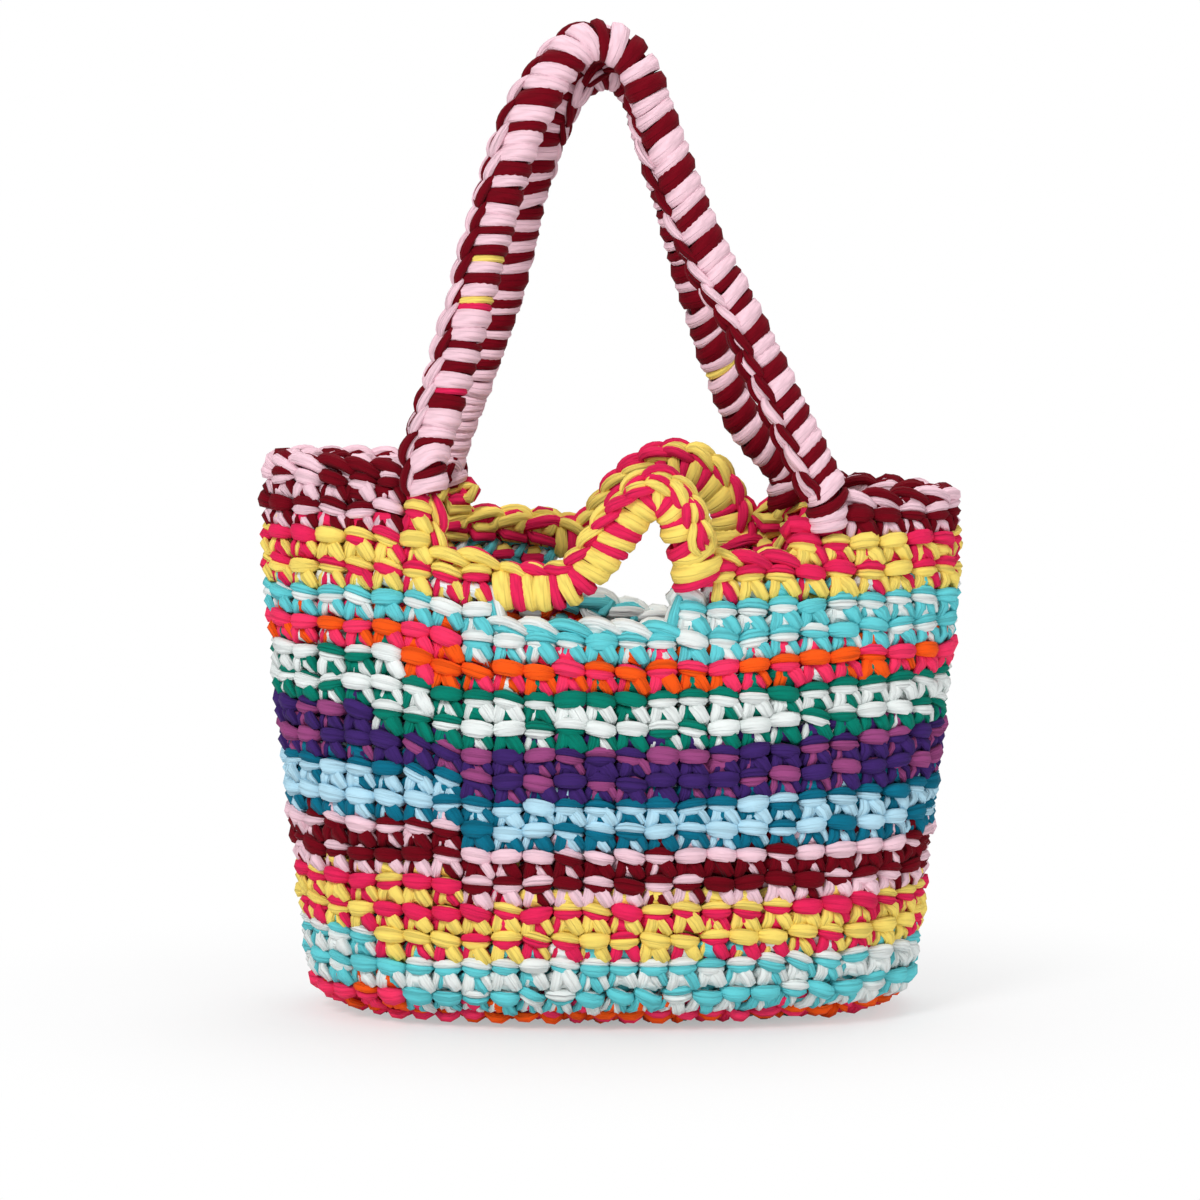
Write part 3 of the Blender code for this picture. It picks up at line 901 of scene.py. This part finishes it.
def smooth(points, steps):
    """A smooth curve through points, from the second to just before the last but one."""
    curve = []
    for before, start, end, after in zip(points, points[1:], points[2:], points[3:]):
        for share in np.arange(steps) / steps:
            blend = 3 * share ** 2 - 2 * share ** 3
            leaving = (end - before) / 2 * (share ** 3 - 2 * share ** 2 + share)
            arriving = (after - start) / 2 * (share ** 3 - share ** 2)
            curve.append(start * (1 - blend) + end * blend + leaving + arriving)
    return curve


one_loop = np.array([1.0, 0.0, 0.0, 0.0])
lap = np.vstack([LOOP_CORNERS[-1] - one_loop, LOOP_CORNERS, LOOP_CORNERS[:2] + one_loop])
LOOP_PATH = np.array(smooth(lap, LOOP_STEPS))
print("points in a loop:", len(LOOP_PATH))

# %% [markdown]
# ## Yarn through a chain
#
# The pair takes a new turn on each arm of a loop. The function frame_at gives the frame of any
# place along the chain: place, along, across and out.

# %% Yarn through a chain
LOOP_SHIFT = 0.03
LOOP_SHIFT_MM = 8


def lay_chain(bm, frame_at, loops, pitch, rng, weights, scale=1.0):
    """Two strands through a chain of loops that are a pitch apart."""
    points = len(LOOP_PATH)
    ahead, sides = path_sides(LOOP_PATH[:, :3], np.array([pitch * 1000, scale, scale]))
    turns = np.zeros((loops, points))
    turns[:, :points // 2] = draw_turns(rng, weights, loops)[:, None]
    turns[:, points // 2:] = draw_turns(rng, weights, loops)[:, None]
    shift = rng.normal(0, LOOP_SHIFT, (loops, 1, 3)) * (1, LOOP_SHIFT_MM, LOOP_SHIFT_MM)
    local = np.tile(LOOP_PATH[None, :, :3], (loops, 1, 1)) + shift

    where = (np.arange(loops)[:, None] + local[:, :, 0]).reshape(-1)
    place, along, across, out_way = frame_at(where)
    flat = local.reshape(-1, 3) * scale / 1000
    centre = place + across * flat[:, 1:2] + out_way * flat[:, 2:3]
    side = turned(sides, (along, across, out_way))
    out = turned(np.cross(ahead, sides), (along, across, out_way))
    size = np.tile(LOOP_PATH[:, 3], loops) * scale / 1000
    face_out = soft_sign((out * out_way).sum(axis=1))
    roll_pair(bm, centre, side, out, size, np.radians(turns).reshape(-1), face_out)

# %% [markdown]
# ## Wrapped ropes
#
# The handles and grips are ropes that are covered by crocheting round them: turns of yarn lie
# side by side round the rope, and along one side the stitches' own chain makes a braid. The
# rope's middle is a smooth curve through a few points, given as shares of the span between its
# feet and of its rise. What goes round the rope asks this curve for a place and for the ways
# forward, in and front.

# %% Rope paths
STUB = 0.020
CURVE_STEPS = 16
LINE_STEP = 0.002
LOOK_ALONG = 0.004
TO_FRONT = np.array([0.0, -1.0, 0.0])


def distances(line):
    """How far along a line each of its points is."""
    return np.concatenate([[0.0], np.cumsum(np.linalg.norm(np.diff(line, axis=0), axis=1))])


def read_line(line, lengths, where):
    """A line's values at these distances along it."""
    return np.stack([np.interp(where, lengths, line[:, axis]) for axis in range(3)], axis=-1)


def rope_line(left, left_way, right, rise, shape, depth_at):
    """Evenly spaced points along a rope's middle. Its right foot stands straight up."""
    left, left_way, right = np.array(left), np.array(left_way), np.array(right)
    points = [left, left + left_way * STUB / 2, left + left_way * STUB]
    for across, up in shape:
        foot = left * (1 - across) + right * across
        points.append(np.array([foot[0], depth_at(foot[1], across, up), foot[2] + rise * up]))
    points += [right + (0, 0, STUB), right + (0, 0, STUB / 2), right]
    ends = [points[0] * 2 - points[1]] + points + [points[-1] * 2 - points[-2]]
    curve = np.array(smooth(ends, CURVE_STEPS) + [right])
    lengths = distances(curve)
    return read_line(curve, lengths, np.linspace(0, lengths[-1], int(lengths[-1] / LINE_STEP)))


def rope_frame(line):
    """A function from the way along a rope to its place and its three directions."""
    lengths = distances(line)
    start_way, end_way = unit(line[1] - line[0]), unit(line[-1] - line[-2])

    def place_of(where):
        kept = np.clip(where, 0, lengths[-1])
        past = (where - kept)[..., None]
        return read_line(line, lengths, kept) + past * np.where(past < 0, start_way, end_way)

    def at(where):
        forward = unit(place_of(where + LOOK_ALONG) - place_of(where - LOOK_ALONG))
        front = unit(TO_FRONT + forward * forward[..., 1:2])
        return place_of(where), forward, np.cross(forward, front), front

    return at, lengths[-1]


print("rope points", LINE_STEP, "m apart")

# %% [markdown]
# ## Turns of yarn round a rope
#
# The wrap could be one long helix, but the real turns change colour and width all the time,
# and each has its own slant. So every turn is a closed ring of flat yarn, with no gap to the
# next. A small generator hands out the two colours in short groups, and a thin bright ring is a
# strand of the rope that shows through.

# %% Wraps round a rope
DARK_SLOT, LIGHT_SLOT = 0, 1
RING_POINTS = 16
WRAP_THICK = 0.0023
WRAP_OVERLAP = 0.57
WRAP_SINKS = (-0.0004, 0.0005)
LAST_GAP = 0.004
SLANT_FROM = 0.3
SWELL = 0.10
FLATTEST, FULLER = 0.85, 0.35
FULL_WIDTH, WIDEST = 0.010, 1.2
PEEK_WIDTH = 0.0040
PEEK_SINK = 0.0010


def radius_along(radii, share):
    """A rope's radius at these shares of its length, from radii given evenly along it."""
    return np.interp(share, np.linspace(0, 1, len(radii)), radii)


def wrap_sequence(rng, light_run, light, dark):
    """A run of light turns, then a dark one, and so on: colour slot, width and lean."""
    while True:
        lean = rng.normal(0, 0.09)
        for turn in range(rng.integers(light_run[0], light_run[1] + 1)):
            yield LIGHT_SLOT, rng.uniform(*light), lean + rng.normal(0, 0.04)
        yield DARK_SLOT, rng.uniform(*dark), lean + rng.normal(0, 0.06)


def lay_wraps(bm, at, length, radii, sequence, tilt, rng, peeks, light_until):
    """Rings of yarn side by side along a rope. peeks are places and slots of bright ones."""
    where = 0.0
    rings = 0
    waiting = sorted(peeks)
    turn = np.linspace(0, 2 * math.pi, RING_POINTS + 1)
    while where < length - LAST_GAP:
        slot, width, lean = next(sequence)
        if where < light_until:
            slot = LIGHT_SLOT
        sink = rng.uniform(*WRAP_SINKS)
        if waiting and where > waiting[0][0]:
            slot = waiting.pop(0)[1]
            width, sink = PEEK_WIDTH, PEEK_SINK
        width = min(width, length - where)
        middle = where + width / 2
        slope = math.tan(tilt + lean)
        ring_radius = radius_along(radii, middle / length) - WRAP_THICK - sink
        place, forward, inner, front = at(middle + ring_radius * slope * np.cos(turn - SLANT_FROM))
        radial = inner * np.cos(turn)[:, None] + front * np.sin(turn)[:, None]
        centre = place + radial * ring_radius
        way = unit(np.roll(centre[:-1], -1, axis=0) - np.roll(centre[:-1], 1, axis=0))
        way = np.vstack([way, way[:1]])
        side = unit(np.cross(way, radial))
        out = np.cross(side, way)
        out *= np.sign((out * radial).sum(axis=1))[:, None]
        swell = 1 + SWELL * np.cos(turn * 2 + rng.uniform(0, 6))
        fat = WRAP_THICK * (FLATTEST + FULLER * min(width / FULL_WIDTH, WIDEST))
        wide = width * WRAP_OVERLAP * swell
        roll_strand(bm, centre, side, out, wide, np.full(len(turn), fat), slot)
        where += width
        rings += 1
    return rings

# %% [markdown]
# ## Core and braid
#
# The rope inside is one thick strand. The braid is a chain of loops that wanders round the
# rope, so its angle is given at a few shares of the length: 0 degrees is the inner side of the
# arch, and 90 the front.

# %% A wrapped rope
CORE_SINK = 0.0035
CORE_STEP = 0.008
BRAID_SINK = 0.0022
BRAID_SAMPLES = 200


def lay_core(bm, at, length, radii):
    count = int(length / CORE_STEP)
    place, forward, inner, front = at(np.linspace(0, length, count))
    thick = radius_along(radii, np.linspace(0, 1, count)) - CORE_SINK
    roll_strand(bm, place, inner, front, thick, thick, DARK_SLOT)


def braid_line(at, length, radii, sink, braid):
    """The braid's frame along its own length, and that length."""
    where = np.linspace(0, length, BRAID_SAMPLES)
    place, forward, inner, front = at(where)
    angle = np.radians(np.interp(where / length, *braid))
    out = inner * np.cos(angle)[:, None] + front * np.sin(angle)[:, None]
    line = place + out * (radius_along(radii, where / length) - sink)[:, None]
    way = unit(np.gradient(line, axis=0))
    out = unit(out - way * (out * way).sum(axis=1, keepdims=True))
    steps = distances(line)

    def on_braid(distance):
        kept = np.clip(distance, 0, steps[-1])
        point, ahead, outward = (read_line(table, steps, kept) for table in (line, way, out))
        point = point + ahead * (distance - kept)[:, None]
        return point, ahead, np.cross(outward, ahead), outward

    return on_braid, steps[-1]


def make_rope(node, line, radii, colours, slot, seed, light, dark, tilt, braid, pitch,
              braid_scale, light_run=(1, 2), peeks=(), light_until=0.0):
    """One wrapped rope: its core, its turns of yarn and the braid along it."""
    rng = np.random.default_rng(seed)
    at, length = rope_frame(line)
    bm = start_yarn()
    lay_core(bm, at, length, radii)
    sequence = wrap_sequence(rng, light_run, light, dark)
    rings = lay_wraps(bm, at, length, radii, sequence, tilt, rng, peeks, light_until)
    on_braid, braid_length = braid_line(at, length, radii, BRAID_SINK * braid_scale, braid)
    loops = int(braid_length / pitch) - 1
    lay_chain(bm, lambda where: on_braid(where * pitch), loops, pitch, rng, MIXED, braid_scale)
    piece = finish_yarn(node + "_yarn", bm, colours, slot)
    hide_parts(node)
    print(node, "wraps", rings, "loops", loops, "length", round(length, 3), "m")

# %% [markdown]
# ## Finished edges
#
# At the sills of the slots and at the rims, the fabric ends in the same chain of loops. It
# follows the last round, so its path is read from the wall's map. At the cut sides of a slot a
# loop or two turns up the edge and hides the ends of the rounds.

# %% Open edges of the fabric
EDGE_LINE = BAR_LINE + 0.34
EDGE_PITCH = 0.0177
EDGE_SCALE = 1.12
EDGE_BACK = 0.3
SIDE_LOOP_ROWS = 0.9
SIDE_SCALE = 0.9


def edge_chain(name, runs, sides, yarns, seed, weights):
    """Chains along the tops of runs of stitches, and up the cut sides of the fabric."""
    rng = np.random.default_rng(seed)
    bm = start_yarn()
    for stitch, row, loops, facing in sides:
        def on_side(where):
            rows = row + where * SIDE_LOOP_ROWS
            place, along, up, outward = wall_frame(np.full_like(rows, stitch), rows)
            return place, up, outward * facing, along * facing
        lay_chain(bm, on_side, loops, SIDE_LOOP_ROWS * ROW_HEIGHT, rng, weights, SIDE_SCALE)
    for first, last in runs:
        def on_edge(where):
            stitches = first + where - EDGE_BACK
            rows = stitches / STITCHES_PER_ROUND + EDGE_LINE
            place, along, up, outward = wall_frame(stitches, rows)
            return place, along, -outward, up
        lay_chain(bm, on_edge, last - first, EDGE_PITCH, rng, weights, EDGE_SCALE)
    *colours, slot = yarns
    finish_yarn(name, bm, colours, slot)

# %% [markdown]
# ## The base
#
# The bag was started from the middle of its base: a short chain, and round it ever longer
# rounds, green with white, until fifty stitches go once round and the wall can rise.

# %% Base
BASE_ROUNDS = (44, 38, 32)
BASE_START = -25
LOWEST_ROW = -3.3
BASE_HABIT = habit(MIXED, ONE_OR_OTHER, EITHER_PETAL)
START_CHAIN_HALF = 0.090
START_CHAIN_LOOPS = 11
START_CHAIN_PITCH = 2 * START_CHAIN_HALF / START_CHAIN_LOOPS

rng = np.random.default_rng(51)
bm = start_yarn()
for inwards, stitches_round in enumerate(BASE_ROUNDS):
    first = BASE_START - STITCHES_PER_ROUND * (inwards + 1)

    def on_base(stitches, rises):
        around = first + stitches * STITCHES_PER_ROUND / stitches_round
        rows = around / STITCHES_PER_ROUND + BAR_LINE + rises
        return clear_frame(around, np.maximum(rows, LOWEST_ROW))

    lay_pair(bm, range(stitches_round), lambda number: BASE_HABIT, rng, on_base)


def on_start_chain(where):
    """The frame of the chain in the middle of the base, which faces down."""
    x = where * START_CHAIN_PITCH - START_CHAIN_HALF
    place = np.stack([x, np.zeros_like(x), np.full_like(x, BASE_MIDDLE_HEIGHT)], axis=1)
    ways = [np.tile(way, (len(x), 1)) for way in ((1.0, 0, 0), (0, 1.0, 0), (0, 0, -1.0))]
    return place, *ways


lay_chain(bm, on_start_chain, START_CHAIN_LOOPS, START_CHAIN_PITCH, rng, MIXED)
base = finish_yarn("base_yarn", bm, ("green", "white"), "yarn_green")
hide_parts("base")

# %% [markdown]
# ## Where the chains lie
#
# Each run is counted in stitches of the spiral, so one loop sits over each stitch. A side has
# its stitch, its lowest row, its number of loops and the way it faces.

# %% Edges of the slots and rims
edge_chain("edge_turquoise", [(702, 708), (727, 733)],
           [(8.0, 14.9, 1, -1), (2.0, 14.9, 1, 1), (33.0, 15.3, 1, -1), (27.0, 15.3, 1, 1)],
           TURQUOISE, 41, MOSTLY_SECOND)
edge_chain("edge_yellow", [(800, 802), (809, 812), (826, 827), (833, 837)], [(0.05, 16.9, 2, 1)],
           YELLOW, 42, MIXED)
edge_chain("edge_burgundy", [(914, 924), (937, 949)], [], BURGUNDY, 43, MIXED)

# %% [markdown]
# ## The front handle
#
# Both long handles rise from the posts, lean towards each other and meet near the crown. Their
# outline is no plain arch, because the stiff wrapped rope was bent by hand. The braid runs up
# the outer side of the left leg, behind the crown, and down the front of the right leg.

# %% Front handle
HANDLE_YARNS = ("burgundy", "pink", "yellow", "magenta")
YELLOW_PEEK, MAGENTA_PEEK = 2, 3
HANDLE_TILT = math.radians(18)
STRAIGHT_UP = (0, 0, 1)
CROWN_DEPTH = 0.013
HANDLE_FRONT_SHAPE = [
    (0.014, 0.117), (0.056, 0.233), (0.097, 0.349), (0.148, 0.517), (0.219, 0.728),
    (0.288, 0.867), (0.368, 0.962), (0.440, 0.986), (0.518, 0.946), (0.575, 0.825),
    (0.678, 0.606), (0.802, 0.409), (0.895, 0.251), (0.982, 0.109)]
FRONT_PEEKS = ((0.052, MAGENTA_PEEK), (0.104, MAGENTA_PEEK), (0.110, YELLOW_PEEK),
               (0.132, YELLOW_PEEK), (0.592, YELLOW_PEEK))


def towards(crown):
    """A rope's depth, which goes from its foot's to the crown's as it rises."""
    return lambda depth, across, up: depth + (crown - depth) * up


front_line = rope_line((-0.1040, -0.0442, 0.3040), STRAIGHT_UP, (0.1215, -0.04412, 0.28322),
                       0.266, HANDLE_FRONT_SHAPE, towards(-CROWN_DEPTH))
make_rope("handle_front", front_line, radii=(0.0120,), colours=HANDLE_YARNS,
          slot="yarn_burgundy", seed=31, light=(0.0060, 0.0105), dark=(0.0045, 0.0105),
          tilt=HANDLE_TILT, braid=((0.34, 0.60, 0.68, 0.78), (166, 345, 356, 402)),
          pitch=0.0150, braid_scale=0.84, peeks=FRONT_PEEKS)

# %% [markdown]
# ## The back handle
#
# It is a little thinner and lower, and its left leg starts with light turns only. Its braid
# changes sides at the crown.

# %% Back handle
HANDLE_BACK_SHAPE = [
    (0.082, 0.267), (0.177, 0.487), (0.239, 0.703), (0.297, 0.871), (0.384, 0.965), (0.486, 1.0),
    (0.558, 0.950), (0.606, 0.835), (0.670, 0.673), (0.730, 0.509), (0.802, 0.331), (0.882, 0.186)]
BACK_PEEKS = ((0.455, YELLOW_PEEK), (0.560, MAGENTA_PEEK), (0.566, YELLOW_PEEK))

back_line = rope_line((-0.0945, 0.04816, 0.29717), STRAIGHT_UP, (0.10057, 0.04621, 0.28661),
                      0.247, HANDLE_BACK_SHAPE, towards(CROWN_DEPTH))
make_rope("handle_back", back_line, radii=(0.0108,), colours=HANDLE_YARNS,
          slot="yarn_burgundy", seed=32, light=(0.0040, 0.0085), dark=(0.0050, 0.0110),
          tilt=HANDLE_TILT, braid=((0.34, 0.60), (-60, 230)), pitch=0.0134,
          braid_scale=0.60, light_run=(1, 1), peeks=BACK_PEEKS, light_until=0.072)

# %% [markdown]
# ## The short grips
#
# A grip starts flat along the top of its slot, as a covered edge, and then rises in a small
# arch for the hand, bowed outwards a little. Where the front one comes down, its braid turns to
# the front and the rope is fuller.

# %% Short grips
GRIP_YARNS = ("magenta", "yellow")
GRIP_TILT = math.radians(9)
GRIP_BOW = 0.004
GRIP_FRONT_RADII = (0.0116, 0.0116, 0.0116, 0.0124, 0.0144, 0.0146, 0.0140)
GRIP_FRONT_SHAPE = [(0.375, 0.034), (0.548, 0.375), (0.681, 0.775), (0.800, 1.0),
                    (0.914, 0.80), (0.964, 0.45)]
GRIP_BACK_SHAPE = [(0.300, 0.300), (0.469, 0.740), (0.675, 1.0), (0.854, 0.940),
                   (0.975, 0.67), (1.0, 0.32)]


def bulge(amount):
    """A rope's depth, which bows out by this amount in the middle."""
    return lambda depth, across, up: depth + amount * math.sin(math.pi * across)


front_line = rope_line((-0.06578, -0.05831, 0.25055), (0.99361, -0.1096, -0.02683),
                       (0.0475, -0.0618, 0.2535), 0.054, GRIP_FRONT_SHAPE, bulge(-GRIP_BOW))
back_line = rope_line((-0.03375, 0.05859, 0.26564), (0.98857, 0.05168, -0.14161),
                      (0.07009, 0.05783, 0.24527), 0.056, GRIP_BACK_SHAPE, bulge(GRIP_BOW))
make_rope("grip_front", front_line, radii=GRIP_FRONT_RADII, colours=GRIP_YARNS,
          slot="yarn_yellow", seed=33, light=(0.0065, 0.0100), dark=(0.0045, 0.0075),
          tilt=GRIP_TILT, braid=((0.0, 0.45, 0.65, 1.0), (195, 172, 126, 112)),
          pitch=0.0135, braid_scale=0.95)
make_rope("grip_back", back_line, radii=(0.0110,), colours=GRIP_YARNS, slot="yarn_yellow",
          seed=34, light=(0.0065, 0.0095), dark=(0.0040, 0.0060), tilt=GRIP_TILT,
          braid=((0.0, 1.0), (165, 155)), pitch=0.0138, braid_scale=1.0, light_run=(1, 3))
